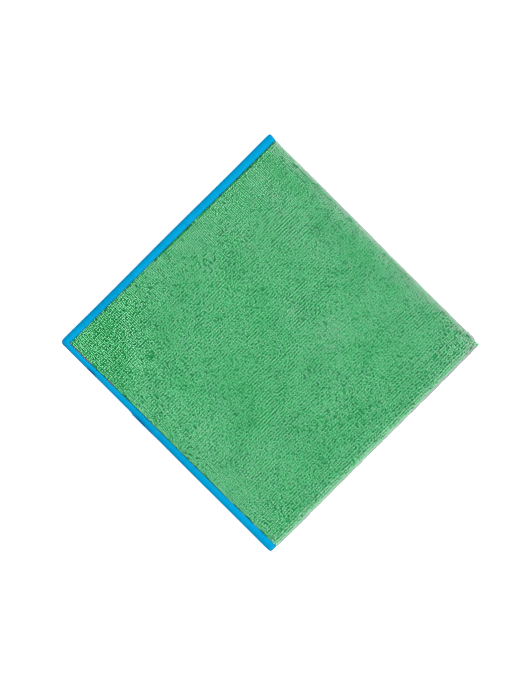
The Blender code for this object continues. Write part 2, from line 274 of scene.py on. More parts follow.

# Colours, from the deepest to the palest. The pile's low stops are painted shade at a loop's foot and its
# high ones painted highlight at its crown; its last two are the painted greyish sheen at the folds' rims
PILE_STOPS = [
    (0.00, (0.028, 0.365, 0.085)),
    (0.24, (0.080, 0.510, 0.180)),
    (0.48, (0.155, 0.650, 0.300)),
    (0.80, (0.350, 0.760, 0.490)),
    (0.90, (0.385, 0.590, 0.455)),
    (1.00, (0.440, 0.350, 0.460)),
]
# The ground's nearly black stops are painted shade for the holes between the loops
GROUND_STOPS = [
    (0.40, (0.004, 0.070, 0.030)),
    (0.60, (0.025, 0.320, 0.080)),
]
# The threads' deepest stops carry their painted shade
THREAD_STOPS = [
    (0.00, (0.000, 0.045, 0.180)),
    (0.25, (0.000, 0.185, 0.375)),
    (0.70, (0.000, 0.245, 0.470)),
    (1.00, (0.001, 0.285, 0.540)),
]
PEARL_STOPS = [
    (0.3, (0.001, 0.110, 0.280)),
    (1.0, (0.045, 0.330, 0.540)),
]

# Camera: the photo is 530 by 686 pixels, and the cloth's middle lies a little right of its middle
PHOTO_WIDTH = 530
PHOTO_HEIGHT = 686
PIXEL = 0.678 * MM
CLOTH_MIDDLE_PX = (270, 343)
LENS_MM = 180
SENSOR_MM = 36
CAMERA_TURN = math.radians(-45)

# The floor lies under the lowest threads, which bulge a little below the solids
FLOOR_DROP = 0.3 * MM


def ease(share):
    """0 at 0 and 1 at 1, level at both ends."""
    share = np.clip(share, 0, 1)
    return share * share * (3 - 2 * share)


def near(distance, reach):
    """1 at distance 0, falling to 0 at reach."""
    return 1 - ease(distance / reach)


def droop(distance, reach):
    """1 at distance 0, falling steeply at first and to 0 at reach."""
    return np.clip(1 - distance / reach, 0, None) ** 2


def half_turn(distance, height, straight, radius):
    """A strip's points after its far half is turned over: their places along it and their heights."""
    angle = np.clip((distance - straight) / radius, 0, math.pi)
    arm = radius - height
    beyond = np.maximum(distance - straight - math.pi * radius, 0)
    return np.minimum(distance, straight) + arm * np.sin(angle) - beyond, radius - arm * np.cos(angle)


def fold(u, v, h):
    """The flat cloth's points (u, v, h) after both folds."""
    across, height = half_turn(HALF_WIDTH + u, h, FIRST_STRAIGHT, FIRST_RADIUS)
    along, height = half_turn(HALF_LENGTH - v, height - FIRST_RADIUS, SECOND_STRAIGHT, SECOND_RADIUS)
    return (
        across - FOLDED_WIDTH / 2,
        FOLDED_LENGTH / 2 - along,
        height + FIRST_RADIUS + CLOTH_THICKNESS / 2,
    )


def soft_spots(x, y, rows, amount):
    """The sum of soft oval spots at (x, y), from rows with a centre, a length, a width and a turn."""
    total = np.zeros_like(x)
    for row in rows:
        turn = math.radians(row.turn)
        dx, dy = x - row.x, y - row.y
        along = (dx * math.cos(turn) + dy * math.sin(turn)) / row.length
        across = (dy * math.cos(turn) - dx * math.sin(turn)) / row.width
        total += getattr(row, amount) * np.exp(-along * along - across * across)
    return total


def settle(x, y, z):
    """Lets the folded stack lie: its underside stays flat, and its layers shift and sink above it."""
    from_left = x + FOLDED_WIDTH / 2
    from_right = FOLDED_WIDTH / 2 - x
    from_back = FOLDED_LENGTH / 2 - y
    from_front = y + FOLDED_LENGTH / 2
    above_step = ease((y - STEP_PLACE) / STEP_LENGTH + 0.5)
    depth = 1 - z / STACK_HEIGHT

    below_step = LEFT_DRIFT_BELOW_STEP * near(STEP_PLACE - y, STEP_FADE)
    left_out = below_step + (LEFT_DRIFT_ABOVE_STEP - below_step) * above_step
    left_turn = math.tau * y / STRAY_LENGTH + STRAY_TURN * depth + STRAY_START
    left_out = left_out - LAYER_STRAY * (1 - np.sin(left_turn))
    back_turn = math.tau * x / STRAY_LENGTH - STRAY_TURN * depth
    back_out = BACK_DRIFT - LAYER_STRAY * (1 - np.cos(back_turn))
    shift_x = -left_out * near(from_left, DRIFT_REACH) + RIGHT_DRIFT * near(from_right, DRIFT_REACH)
    shift_y = back_out * near(from_back, DRIFT_REACH)
    bulge = CORNER_BULGE * near(from_right, CORNER_BULGE_REACH) * near(from_back, CORNER_BULGE_REACH)
    tip = TIP_BULGE * near(from_right, TIP_BULGE_REACH) * near(from_front, TIP_BULGE_REACH)
    wave_x = OUTLINE_WAVE * np.sin(math.tau * y / OUTLINE_WAVELENGTH)
    wave_y = OUTLINE_WAVE * np.cos(math.tau * x / OUTLINE_WAVELENGTH) - OUTLINE_SKEW * x / FOLDED_WIDTH

    loose_edge = np.maximum(droop(from_left, EDGE_SAG_REACH), droop(from_back, EDGE_SAG_REACH))
    folded_edge = np.maximum(near(from_right, FOLD_PUFF_REACH), near(from_front, FOLD_PUFF_REACH))
    share = 1 + soft_spots(x, y, HOLLOWS, "depth") / STACK_HEIGHT - EDGE_SAG * loose_edge
    share = share + FOLD_PUFF * folded_edge * (1 - loose_edge)
    toward_corner = ease((y - STEP_PLACE) / CORNER_SAG_EASE)
    share = share - CORNER_SAG * toward_corner * droop(from_left, CORNER_SAG_REACH)
    middle = np.sin(math.pi * np.clip(z / STACK_HEIGHT, 0, 1))
    wander = np.sin(math.tau * (x + 0.6 * y) / MIDDLE_WAVELENGTH) * MIDDLE_WAVE * middle
    lie_x = x + shift_x * depth + bulge + tip + wave_x
    lie_y = y + shift_y * depth - tip + wave_y
    return lie_x, lie_y, z * share + wander


def carried(u, v, h):
    """Flat points carried into the folded cloth, as rows of x, y, z."""
    return np.stack(settle(*fold(u, v, h)), axis=-1)


def waves(x, y, length, seed):
    """Smooth noise from about -1 to 1: a seeded sum of plane waves about this long."""
    chance = np.random.default_rng(seed)
    total = np.zeros_like(x)
    for _ in range(8):
        turn, phase = chance.uniform(0, math.tau, 2)
        scale = length * chance.uniform(0.7, 1.6)
        total += np.sin(math.tau * (x * math.cos(turn) + y * math.sin(turn)) / scale + phase)
    return total / math.sqrt(8)


def side_width(side, along, half):
    """The binding's width at places along one side, which runs from -half to half."""
    return np.interp(along, (-half, 0, half), SIDE_WIDTHS[side])


def repeated(faces, corners, count):
    """The faces of one form with so many corners, for a count of such forms one after another."""
    return (np.array(faces)[None] + corners * np.arange(count)[:, None, None]).reshape(-1, len(faces[0]))


def make_piece(name, points, faces, material, **values):
    """A mesh object on the root body, from arrays, with named values at its points."""
    mesh = bpy.data.meshes.new(name)
    mesh.from_pydata(points.tolist(), [], faces.tolist())
    for label, numbers in values.items():
        layer = mesh.attributes.new(label, "FLOAT", "POINT")
        layer.data.foreach_set("value", np.ascontiguousarray(numbers, np.float32).ravel())
    mesh.shade_smooth()
    mesh.materials.append(material)
    piece = bpy.data.objects.new(name, mesh)
    bpy.context.scene.collection.objects.link(piece)
    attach(piece, "root")
    return piece


# Materials


def add_node(tree, kind, inputs=(), **settings):
    """A shader node with its settings, and its inputs given as values or as other nodes' outputs."""
    made = tree.nodes.new(kind)
    for name, value in settings.items():
        setattr(made, name, value)
    for name, value in dict(inputs).items():
        if isinstance(value, bpy.types.NodeSocket):
            tree.links.new(value, made.inputs[name])
        else:
            made.inputs[name].default_value = value
    return made


def read_value(tree, label):
    return add_node(tree, "ShaderNodeAttribute", attribute_name=label).outputs["Fac"]


def calculate(tree, operation, first, second):
    made = add_node(tree, "ShaderNodeMath", {0: first, 1: second}, operation=operation)
    return made.outputs[0]


def noise(tree, scale, detail=3.0, roughness=0.5):
    """Noise from 0 to 1, with its scale in features a metre."""
    place = add_node(tree, "ShaderNodeTexCoord").outputs["Object"]
    inputs = {"Vector": place, "Scale": scale, "Detail": detail, "Roughness": roughness}
    return add_node(tree, "ShaderNodeTexNoise", inputs).outputs["Fac"]


def ramp(tree, fac, stops):
    """A colour ramp, from (place, colour) stops."""
    made = add_node(tree, "ShaderNodeValToRGB", {"Fac": fac})
    elements = made.color_ramp.elements
    while len(elements) < len(stops):
        elements.new(0.5)
    for element, (place, colour) in zip(elements, stops):
        element.position = place
        element.color = (*colour, 1)
    return made.outputs["Color"]


def new_material(name, roughness, sheen, sheen_roughness, sheen_tint):
    material = bpy.data.materials.new(name)
    material.use_nodes = True
    shader = material.node_tree.nodes["Principled BSDF"]
    shader.inputs["Roughness"].default_value = roughness
    shader.inputs["Specular IOR Level"].default_value = 0.12
    shader.inputs["Sheen Weight"].default_value = sheen
    shader.inputs["Sheen Roughness"].default_value = sheen_roughness
    shader.inputs["Sheen Tint"].default_value = (*sheen_tint, 1)
    return material, material.node_tree, shader


def set_bump(tree, shader, height, strength, distance):
    inputs = {"Height": height, "Strength": strength, "Distance": distance}
    bump = add_node(tree, "ShaderNodeBump", inputs)
    tree.links.new(bump.outputs["Normal"], shader.inputs["Normal"])


def pile_material():
    """Looped microfibre: painted shade makes it deep green at a loop's foot, painted highlight paler at
    its crown, and painted sheen greyish at the folds' rims.
    """
    material, tree, shader = new_material("pile", 0.9, 0.15, 0.5, (0.8, 1.0, 0.85))
    # Painted shade at the loops' feet and painted highlight at their crowns, by their height 'lift'
    height = calculate(tree, "POWER", read_value(tree, "lift"), CROWN_CURVE)
    height = calculate(tree, "MULTIPLY", height, CROWN_SHADE)
    shade = calculate(tree, "ADD", height, read_value(tree, "tone"))
    fibres = calculate(tree, "MULTIPLY", noise(tree, 1500.0, 2.0), FIBRE_SHADE)
    fibres = calculate(tree, "SUBTRACT", fibres, FIBRE_MEAN)
    shade = calculate(tree, "MULTIPLY", calculate(tree, "ADD", shade, fibres), SHADE_RANGE)
    shade = calculate(tree, "MINIMUM", shade, PALEST_NAP)
    # Painted sheen at the folds' rims: the rim mask, stronger on faces turned up, pushes the colour
    # towards the greyish stops
    normal = add_node(tree, "ShaderNodeNewGeometry").outputs["Normal"]
    upward = add_node(tree, "ShaderNodeSeparateXYZ", {"Vector": normal}).outputs["Z"]
    upward = calculate(tree, "MINIMUM", calculate(tree, "ADD", upward, RIM_TILT), 1.0)
    upward = calculate(tree, "MAXIMUM", upward, 0.0)
    rim = calculate(tree, "MULTIPLY", upward, read_value(tree, "rim"))
    painted_rim_sheen = calculate(tree, "MULTIPLY", calculate(tree, "SUBTRACT", 1.0, shade), rim)
    colour = ramp(tree, calculate(tree, "ADD", shade, painted_rim_sheen), PILE_STOPS)
    tree.links.new(colour, shader.inputs["Base Color"])
    strand = add_node(tree, "ShaderNodeAttribute", attribute_name="strand").outputs["Vector"]
    inputs = {"Vector": strand, "Scale": 9000.0, "Detail": 2.0}
    filaments = add_node(tree, "ShaderNodeTexNoise", inputs).outputs["Fac"]
    set_bump(tree, shader, filaments, 0.6, 0.05 * MM)
    return material


def ground_material():
    """The knitted ground under the loops, and the matted pile on the faces that press together, dark with
    painted shade for the holes between the loops.
    """
    material, tree, shader = new_material("ground", 0.95, 0.15, 0.5, (0.8, 1.0, 0.85))
    colour = ramp(tree, noise(tree, 700.0, 5.0, 0.65), GROUND_STOPS)
    tree.links.new(colour, shader.inputs["Base Color"])
    set_bump(tree, shader, noise(tree, 900.0, 5.0, 0.7), 0.8, 0.5 * MM)
    return material


def thread_material():
    """Overlock thread: bright blue with fine plies, and painted shade that deepens it where a thread
    turns down over the rim.
    """
    material, tree, shader = new_material("thread", 0.6, 0.0, 0.4, (1.0, 1.0, 1.0))
    shader.inputs["Specular Tint"].default_value = (0.0, 0.45, 0.8, 1)
    shade = calculate(tree, "ADD", read_value(tree, "lift"), read_value(tree, "tone"))
    patches = calculate(tree, "MULTIPLY", noise(tree, 220.0, 2.0), 0.3)
    shade = calculate(tree, "ADD", calculate(tree, "SUBTRACT", shade, 0.15), patches)
    tree.links.new(ramp(tree, shade, THREAD_STOPS), shader.inputs["Base Color"])
    set_bump(tree, shader, noise(tree, 4200.0, 3.0), 0.35, 0.05 * MM)
    return material


def pearl_material():
    """Needle thread: the same thread, paler where its raised stitches catch the light."""
    material, tree, shader = new_material("needle_thread", 0.5, 0.0, 0.4, (1.0, 1.0, 1.0))
    shade = calculate(tree, "ADD", read_value(tree, "lift"), read_value(tree, "tone"))
    colour = ramp(tree, calculate(tree, "MULTIPLY", shade, 0.7), PEARL_STOPS)
    tree.links.new(colour, shader.inputs["Base Color"])
    set_bump(tree, shader, noise(tree, 4200.0, 3.0), 0.35, 0.05 * MM)
    return material


def red_material():
    """The brown-red thread that shows along the inner edge."""
    material, tree, shader = new_material("red_thread", 0.7, 0.0, 0.4, (1.0, 1.0, 1.0))
    stops = [(0.3, (0.16, 0.045, 0.045)), (0.7, (0.36, 0.10, 0.10))]
    tree.links.new(ramp(tree, noise(tree, 1200.0), stops), shader.inputs["Base Color"])
    set_bump(tree, shader, noise(tree, 4200.0, 3.0), 0.35, 0.05 * MM)
    return material


def binding_material():
    """The layer of thread under the outer threads, which shows only between them; its deeper navy is
    painted shade for those gaps.
    """
    material, tree, shader = new_material("binding", 0.7, 0.0, 0.5, (1.0, 1.0, 1.0))
    shader.inputs["Specular Tint"].default_value = (0.0, 0.3, 0.6, 1)
    stops = [(0.3, (0.001, 0.085, 0.210)), (0.7, (0.001, 0.150, 0.340))]
    tree.links.new(ramp(tree, noise(tree, 1500.0), stops), shader.inputs["Base Color"])
    set_bump(tree, shader, noise(tree, 3000.0), 0.5, 0.15 * MM)
    return material


def floor_material():
    """A white light table: matt, with a faint glow, so that the cloth casts almost no shadow."""
    material, tree, shader = new_material("floor", 0.85, 0.0, 0.5, (1.0, 1.0, 1.0))
    colour = ramp(tree, noise(tree, 60.0), [(0.0, (0.91, 0.91, 0.91)), (1.0, (0.94, 0.94, 0.94))])
    tree.links.new(colour, shader.inputs["Base Color"])
    shader.inputs["Emission Color"].default_value = (1, 1, 1, 1)
    shader.inputs["Emission Strength"].default_value = 0.5
    return material


# The ground of the cloth

SHEET_CELLS = 40
FIRST_BEND_CELLS = 8
SECOND_BEND_CELLS = 12
SIDE_START = max(max(widths) for widths in SIDE_WIDTHS.values()) + PIECE_GAP + PINCH_SLOPE


def grid_places(straight, radius, bend_cells, length):
    """Places over the whole length, about its middle: even in flat stretches and close in the fold."""
    first = np.linspace(SIDE_START, straight, SHEET_CELLS + 1)
    bend = np.linspace(straight, straight + math.pi * radius / 2, bend_cells // 2 + 1)[1:]
    half = np.concatenate([first, bend]) - length / 2
    return np.concatenate([half, -half[-2::-1]])


def make_ground(material):
    """The sheet: full thickness where faces press together, and sunk to its ground under the loops."""
    inner_u = grid_places(FIRST_STRAIGHT, FIRST_RADIUS, FIRST_BEND_CELLS, CLOTH_WIDTH)
    inner_v = grid_places(SECOND_STRAIGHT, SECOND_RADIUS, SECOND_BEND_CELLS, CLOTH_LENGTH)
    u = np.concatenate([[-HALF_WIDTH, -HALF_WIDTH], inner_u, [HALF_WIDTH, HALF_WIDTH]])
    v = np.concatenate([[-HALF_LENGTH, -HALF_LENGTH], inner_v, [HALF_LENGTH, HALF_LENGTH]])
    u, v = np.meshgrid(u, v)
    pinch_u = {side: side_width(side, v, HALF_LENGTH) + PIECE_GAP for side in ("u-", "u+")}
    pinch_v = {side: side_width(side, u, HALF_WIDTH) + PIECE_GAP for side in ("v-", "v+")}
    for end, sign, rim, pinch in (("-", -1, 0, 1), ("+", 1, -1, -2)):
        u[:, rim] = sign * (HALF_WIDTH - RIM_INSET)
        u[:, pinch] = sign * (HALF_WIDTH - pinch_u["u" + end][:, pinch])
        v[rim] = sign * (HALF_LENGTH - RIM_INSET)
        v[pinch] = sign * (HALF_LENGTH - pinch_v["v" + end][pinch])
    pull = (CORNER_RADIUS - RIM_INSET) * (1 - math.sqrt(0.5))
    for row in (0, -1):
        for column in (0, -1):
            u[row, column] -= math.copysign(pull, u[row, column])
            v[row, column] -= math.copysign(pull, v[row, column])

    rows, columns = u.shape
    full = np.zeros_like(u)
    full[2:-2, 2:-2] = 1
    hidden = ease((u - GROOVE_REACH) / (3 * MM))
    looped_half = GROUND_HALF + (CLOTH_THICKNESS / 2 - GROUND_HALF) * hidden
    pinched_half = PINCHED_THICKNESS / 2
    upper = carried(u, v, pinched_half + (CLOTH_THICKNESS / 2 - pinched_half) * full)
    lower = carried(u, v, -(pinched_half + (looped_half - pinched_half) * full))
    points = np.concatenate([upper.reshape(-1, 3), lower.reshape(-1, 3)])

    index = np.arange(rows * columns).reshape(rows, columns)
    quads = np.stack([index[:-1, :-1], index[:-1, 1:], index[1:, 1:], index[1:, :-1]], axis=-1)
    quads = quads.reshape(-1, 4)
    rim = np.concatenate([index[0, :-1], index[:-1, -1], index[-1, :0:-1], index[:0:-1, 0]])
    under = rim + rows * columns
    walls = np.stack([rim, under, np.roll(under, -1), np.roll(rim, -1)], axis=-1)
    faces = np.concatenate([quads, quads[:, ::-1] + rows * columns, walls])
    return make_piece("ground", points, faces, material)


# The looped pile


def surface_places(start, end, pitch, straight, radius, outer_radius):
    """Places a pitch apart on the cloth's outer face, also round the fold, and the stretch there."""
    stretch = outer_radius / radius
    bend = math.pi * radius
    knots = np.array([0, straight, straight + bend, 2 * straight + bend])
    outer = np.array([0, straight, straight + bend * stretch, 2 * straight + bend * stretch])
    first, last = np.interp((start, end), knots, outer)
    count = round((last - first) / pitch)
    places = np.interp(first + (np.arange(count) + 0.5) * pitch, outer, knots)
    bent = (places > straight) & (places < straight + bend)
    return places, np.where(bent, stretch, 1.0)


def loop_places():
    """Where the loops stand on the cloth, how the folds stretch it there, and how far the binding is."""
    chance = np.random.default_rng(11)
    from_left, stretch_u = surface_places(
        SIDE_WIDTHS["u-"].start,
        HALF_WIDTH + GROOVE_REACH,
        LOOP_PITCH,
        FIRST_STRAIGHT,
        FIRST_RADIUS,
        FIRST_RADIUS + CLOTH_THICKNESS / 2,
    )
    from_back, stretch_v = surface_places(
        SIDE_WIDTHS["v+"].start,
        CLOTH_LENGTH - SIDE_WIDTHS["v-"].start,
        ROW_PITCH,
        SECOND_STRAIGHT,
        SECOND_RADIUS,
        SECOND_RADIUS + FIRST_RADIUS + CLOTH_THICKNESS / 2,
    )
    u, v = np.meshgrid(from_left - HALF_WIDTH, HALF_LENGTH - from_back)
    stretch_u, stretch_v = np.meshgrid(stretch_u, stretch_v)
    u, v, stretch_u, stretch_v = (a.ravel() for a in (u, v, stretch_u, stretch_v))

    stray = np.clip(chance.normal(0, 1, (2, len(u))), -2, 2) * (1 - 0.2 * calmness(u, v))
    u += (STRAY_ALONG_ROW * stray[0] + WANDER_ALONG_ROW * waves(u, v, 40 * MM, 23)) / stretch_u
    v += (STRAY_ACROSS_ROW * stray[1] + WANDER_ACROSS_ROW * waves(u, v, 30 * MM, 3)) / stretch_v

    from_rims = [
        HALF_WIDTH + u - side_width("u-", v, HALF_LENGTH),
        HALF_LENGTH + v - side_width("v-", u, HALF_WIDTH),
        HALF_LENGTH - v - side_width("v+", u, HALF_WIDTH),
    ]
    from_rim = np.min(from_rims, axis=0)
    kept = from_rim > RIM_CLEARANCE
    in_second_fold = (u > 2 * MM) & (np.abs(v) < 8 * MM)
    kept &= ~in_second_fold
    crowded = (stretch_u > 1) & (stretch_v > 1)
    kept &= chance.uniform(0, 1, len(u)) > np.where(crowded, MISSING_AT_TIP, MISSING_SHARE)
    return u[kept], v[kept], stretch_u[kept], stretch_v[kept], from_rim[kept]


def stand_up(a, b, c, yaw, u, v, stretch_u, stretch_v):
    """Small forms' points, a along the row, b across it and c above the ground, set in the cloth."""
    turned_a = a * np.cos(yaw)[:, None] - b * np.sin(yaw)[:, None]
    turned_b = a * np.sin(yaw)[:, None] + b * np.cos(yaw)[:, None]
    return carried(
        u[:, None] + turned_a / stretch_u[:, None],
        v[:, None] - turned_b / stretch_v[:, None],
        -GROUND_HALF - c,
    )


def calmness(u, v):
    """How orderly the pile lies: from 0 at the loose left side to 1 at the first fold, in soft waves."""
    return ease(1 + u / HALF_WIDTH + 0.3 * waves(u, v, 45 * MM, 17))


def loop_shapes(u, v, stretch_u, stretch_v, from_rim):
    """The loops' points, how high each is in the pile, and their own axes for the fibres along them."""
    chance = np.random.default_rng(29)
    count = len(u)
    calm = calmness(u, v)
    yaw = chance.normal(0, 1, count) * (0.38 - 0.12 * calm)
    turned = chance.uniform(0, 1, count) < 0.10 - 0.04 * calm
    yaw = np.where(turned, chance.uniform(0.9, 2.2, count), yaw)
    length = LOOP_LENGTH * chance.uniform(0.75, 1.2, count)
    radius = LOOP_RADIUS * chance.uniform(0.82, 1.12, count)
    crown = PILE_DEPTH + PROUD * chance.uniform(-1, 1, count)
    crown = crown - RIM_PRESS * near(from_rim, RIM_PRESS_REACH)
    at_first_fold = ease(2.2 - 1.6 * np.abs(u) / (math.pi / 2 * FIRST_RADIUS))
    first_proud = FIRST_FOLD_PROUD * (1 + 0.4 * near(np.abs(v - TIP_V), 25 * MM)) * at_first_fold
    second_proud = SECOND_FOLD_PROUD * (1 - 0.35 * near(-u, 50 * MM)) * (stretch_v > 1)
    crown += np.maximum(first_proud, second_proud) - TIP_PRESS * (stretch_u > 1) * (stretch_v > 1)
    hook = RUFFLE * chance.normal(0, 1, count)
    lean = RUFFLE * chance.normal(0.3, 1, count)
    twist = RUFFLE * chance.normal(0, 1, count)

    def column(values):
        return values[:, None, None]

    t = np.array(LOOP_RINGS)[None, :, None]
    angle = np.radians(LOOP_ANGLES)[None, None, :]
    bow = 1 - np.abs(2 * t) ** 2.3
    rise_to_top = column(crown - radius) - LOOP_FOOT
    slope_c = rise_to_top * -4.6 * np.sign(t) * np.abs(2 * t) ** 1.3
    slope_a = np.broadcast_to(column(length), slope_c.shape)
    norm = np.hypot(slope_a, slope_c)
    thick = column(radius) * (0.70 + 0.30 * bow)
    rise = thick * np.sin(angle)
    a = column(length) * t + column(lean) * bow - rise * slope_c / norm
    b = column(hook) * (bow - 0.5) + column(twist) * 2 * t + thick * 1.08 * np.cos(angle)
    c = LOOP_FOOT + rise_to_top * bow + rise * slope_a / norm

    ends = np.array([-0.5, 0.5])[None, :]
    end_b = hook[:, None] * -0.5 + twist[:, None] * 2 * ends
    a = np.concatenate([a.reshape(count, -1), length[:, None] * ends], axis=1)
    b = np.concatenate([b.reshape(count, -1), end_b], axis=1)
    c = np.concatenate([c.reshape(count, -1), np.full((count, 2), LOOP_FOOT - 0.1 * MM)], axis=1)
    strand = np.stack([a * 0.12 + chance.uniform(0, 0.2, count)[:, None], b, c], axis=-1)
    return stand_up(a, b, c, yaw, u, v, stretch_u, stretch_v), np.clip(c / PILE_DEPTH, 0, 1), strand


def loop_faces():
    """One loop's triangles: its arched back between the rings, and a point at each end."""
    rings, across = len(LOOP_RINGS), len(LOOP_ANGLES)
    faces = []
    for ring in range(rings - 1):
        for side in range(across - 1):
            a, b = ring * across + side, ring * across + side + 1
            faces += [(a, b, b + across), (a, b + across, a + across)]
    last = (rings - 1) * across
    for side in range(across - 1):
        faces.append((rings * across, side + 1, side))
        faces.append((rings * across + 1, last + side, last + side + 1))
    return faces


LOZENGE_RING = ((0, 2), (2, 1), (1, 3), (3, 0))
LOZENGE_FACES = [(*side, 4) for side in LOZENGE_RING] + [(*side[::-1], 5) for side in LOZENGE_RING]


def lozenge_shapes(u, v, stretch_u, stretch_v, length, radius, crown, turn, seed):
    """Plain tufts that lie across the rows, give or take a turn: two tips, two flanks, crown and foot."""
    chance = np.random.default_rng(seed)
    count = len(u)
    yaw = math.pi / 2 + turn * chance.normal(0, 1, count)
    long = 0.5 * length * chance.uniform(0.8, 1.15, count)
    wide = radius * chance.uniform(0.85, 1.2, count)
    zero = np.zeros(count)
    a = np.stack([-long, long, zero, zero, zero, zero], axis=1)
    b = np.stack([zero, zero, -wide, wide, zero, zero], axis=1)
    low, top = np.full(count, crown * 0.45), np.full(count, crown)
    c = np.stack([low, low, low, low, top, zero - 0.05 * MM], axis=1)
    strand = np.stack([a * 0.3 + chance.uniform(0, 0.2, count)[:, None], b, c], axis=-1)
    return stand_up(a, b, c, yaw, u, v, stretch_u, stretch_v), np.clip(c / PILE_DEPTH, 0, 1), strand


def from_folds(x, y):
    """How far places are inwards from the first fold and from the second."""
    return FOLDED_WIDTH / 2 - x, FOLDED_LENGTH / 2 + y


def upper_half(z):
    """1 in the stack's upper half and 0 in its lower half, with a soft step."""
    return ease(z / STACK_HEIGHT * 4 - 1.5)


def nap_tones(points, u, v, seed):
    """How light each tuft is: by chance, in soft waves, in patches of painted shade and light with the
    nap, and with painted sheen by the folds.
    """
    chance = np.random.default_rng(seed)
    x, y, z = points.mean(axis=1).T
    on_top = ease((z / STACK_HEIGHT - 0.5) * 2)
    tone = NAP_LIGHTEST - NAP_SPREAD * np.abs(chance.normal(0, 1, len(u)))
    tone += sum(wave.amount * waves(u, v / wave.stretch, wave.length, wave.seed) for wave in NAP_WAVES)
    # Painted shade and light in patches, on the cloth's top
    tone += on_top * soft_spots(x, y, SHADE_AND_NAP_PATCHES, "tone")
    from_first, from_second = from_folds(x, y)
    tone += NAP_RISE * near(from_first, NAP_RISE_REACH)
    # Painted sheen: paler pile near the folds, only in the stack's upper half
    painted_sheen = FIRST_FOLD_PAINTED_SHEEN * near(from_first, FIRST_PAINTED_SHEEN_REACH)
    painted_sheen = painted_sheen + SECOND_FOLD_PAINTED_SHEEN * near(from_second, SECOND_PAINTED_SHEEN_REACH)
    return tone + painted_sheen * upper_half(z)


def rim_paleness(points):
    """Where painted sheen greys the pile: 1 at the outermost pile of the two folds, except at the tip
    between them.
    """
    x, y, z = np.moveaxis(points, -1, 0)
    from_first, from_second = from_folds(x, y)
    first_rim = near(from_first, 1.5 * MM) * ease(z / STACK_HEIGHT * 8 - 5.4)
    second_rim = near(from_second, 1.9 * MM) * upper_half(z)
    return np.maximum(first_rim, second_rim) * (1 - near(np.hypot(from_first, from_second), 5 * MM))


def make_tufts(name, shapes, tone, faces, material):
    """One mesh of many tufts of one form."""
    points, lift, strand = shapes
    corners = points.shape[1]
    values = {"lift": lift, "tone": np.repeat(tone, corners), "rim": rim_paleness(points)}
    all_faces = repeated(faces, corners, len(points))
    piece = make_piece(name, points.reshape(-1, 3), all_faces, material, **values)
    layer = piece.data.attributes.new("strand", "FLOAT_VECTOR", "POINT")
    layer.data.foreach_set("vector", strand.astype(np.float32).ravel())
    return piece


def make_pile(material):
    """The standing loops, the tufts that bridge their rows, and the pressed pile underneath."""
    places = np.stack(loop_places())
    places = places[:, np.argsort(places[1], kind="stable")]
    upward = HALF_LENGTH - places[1] > SECOND_STRAIGHT + 0.25 * math.pi * SECOND_RADIUS
    standing, pressed = places[:, upward], places[:, ~upward]

    points, lift, strand = loop_shapes(*standing)
    tone = nap_tones(points, standing[0], standing[1], 41)
    made = []
    for start in range(0, len(tone), LOOPS_IN_A_PIECE):
        part = slice(start, start + LOOPS_IN_A_PIECE)
        shapes = (points[part], lift[part], strand[part])
        name = f"loops_{len(made) + 1}"
        made.append(make_tufts(name, shapes, tone[part], loop_faces(), material))

    share = BRIDGED_SHARE + BRIDGED_WHERE_CALM * calmness(standing[0], standing[1])
    from_first, from_second = from_folds(points[:, 0, 0], points[:, 0, 1])
    share += BRIDGED_AT_FOLDS * np.maximum(near(from_first, 14 * MM), near(from_second, 9 * MM))
    share += BRIDGED_AT_RIM * near(standing[4], 24 * MM)
    between = standing[:, np.random.default_rng(83).uniform(0, 1, len(share)) < share]
    between[1] += ROW_PITCH / 2 / between[3]
    bridge = (BRIDGE_LENGTH, BRIDGE_RADIUS, BRIDGE_HEIGHT, BRIDGE_TURN)
    shapes = lozenge_shapes(*between[:4], *bridge, 61)
    tone = nap_tones(shapes[0], between[0], between[1], 43)
    made.append(make_tufts("low_tufts", shapes, tone, LOZENGE_FACES, material))

    flattened = (ROW_PITCH, 1.2 * LOOP_RADIUS, PILE_DEPTH, 0.7)
    shapes = lozenge_shapes(*pressed[:4], *flattened, 67)
    tone = nap_tones(shapes[0], pressed[0], pressed[1], 47)
    made.append(make_tufts("under_tufts", shapes, tone, LOZENGE_FACES, material))
    return made


# The overlocked edge


def rim_stations(pitch, corner_steps):
    """Stations round the rim, counter-clockwise: outline, direction inwards, the band's inner edge."""
    outline, inward = [], []
    corner = CORNER_RADIUS
    sides = [
        ("v", 1, HALF_WIDTH, HALF_LENGTH),
        ("u", 1, HALF_LENGTH, HALF_WIDTH),
        ("v", -1, -HALF_WIDTH, HALF_LENGTH),
        ("u", -1, -HALF_LENGTH, HALF_WIDTH),
    ]
    for number, (axis, sign, fixed, half) in enumerate(sides):
        count = round(2 * (half - corner) / pitch)
        run = (np.arange(count) + 0.5) / count * 2 - 1
        run = run * (half - corner) * sign
        if axis == "u":
            run = -run
        level = np.full(count, fixed)
        pair = (level, run) if axis == "v" else (run, level)
        outline.append(np.stack(pair, axis=-1))
        normal = (-math.copysign(1, fixed), 0) if axis == "v" else (0, -math.copysign(1, fixed))
        inward.append(np.tile(normal, (count, 1)))
        angle = math.pi / 2 * (number + (np.arange(corner_steps) + 0.5) / corner_steps)
        turn = np.stack([np.cos(angle), np.sin(angle)], axis=-1)
        middle = np.sign(turn) * (HALF_WIDTH - corner, HALF_LENGTH - corner)
        outline.append(middle + corner * turn)
        inward.append(-turn)
    outline, inward = np.concatenate(outline), np.concatenate(inward)
    u, v = outline.T
    inner_u = HALF_WIDTH - np.where(u > 0, *(side_width(side, v, HALF_LENGTH) for side in ("u+", "u-")))
    inner_v = HALF_LENGTH - np.where(v > 0, *(side_width(side, u, HALF_WIDTH) for side in ("v+", "v-")))
    inner = np.stack([np.clip(u, -inner_u, inner_u), np.clip(v, -inner_v, inner_v)], axis=-1)
    return outline, inward, inner


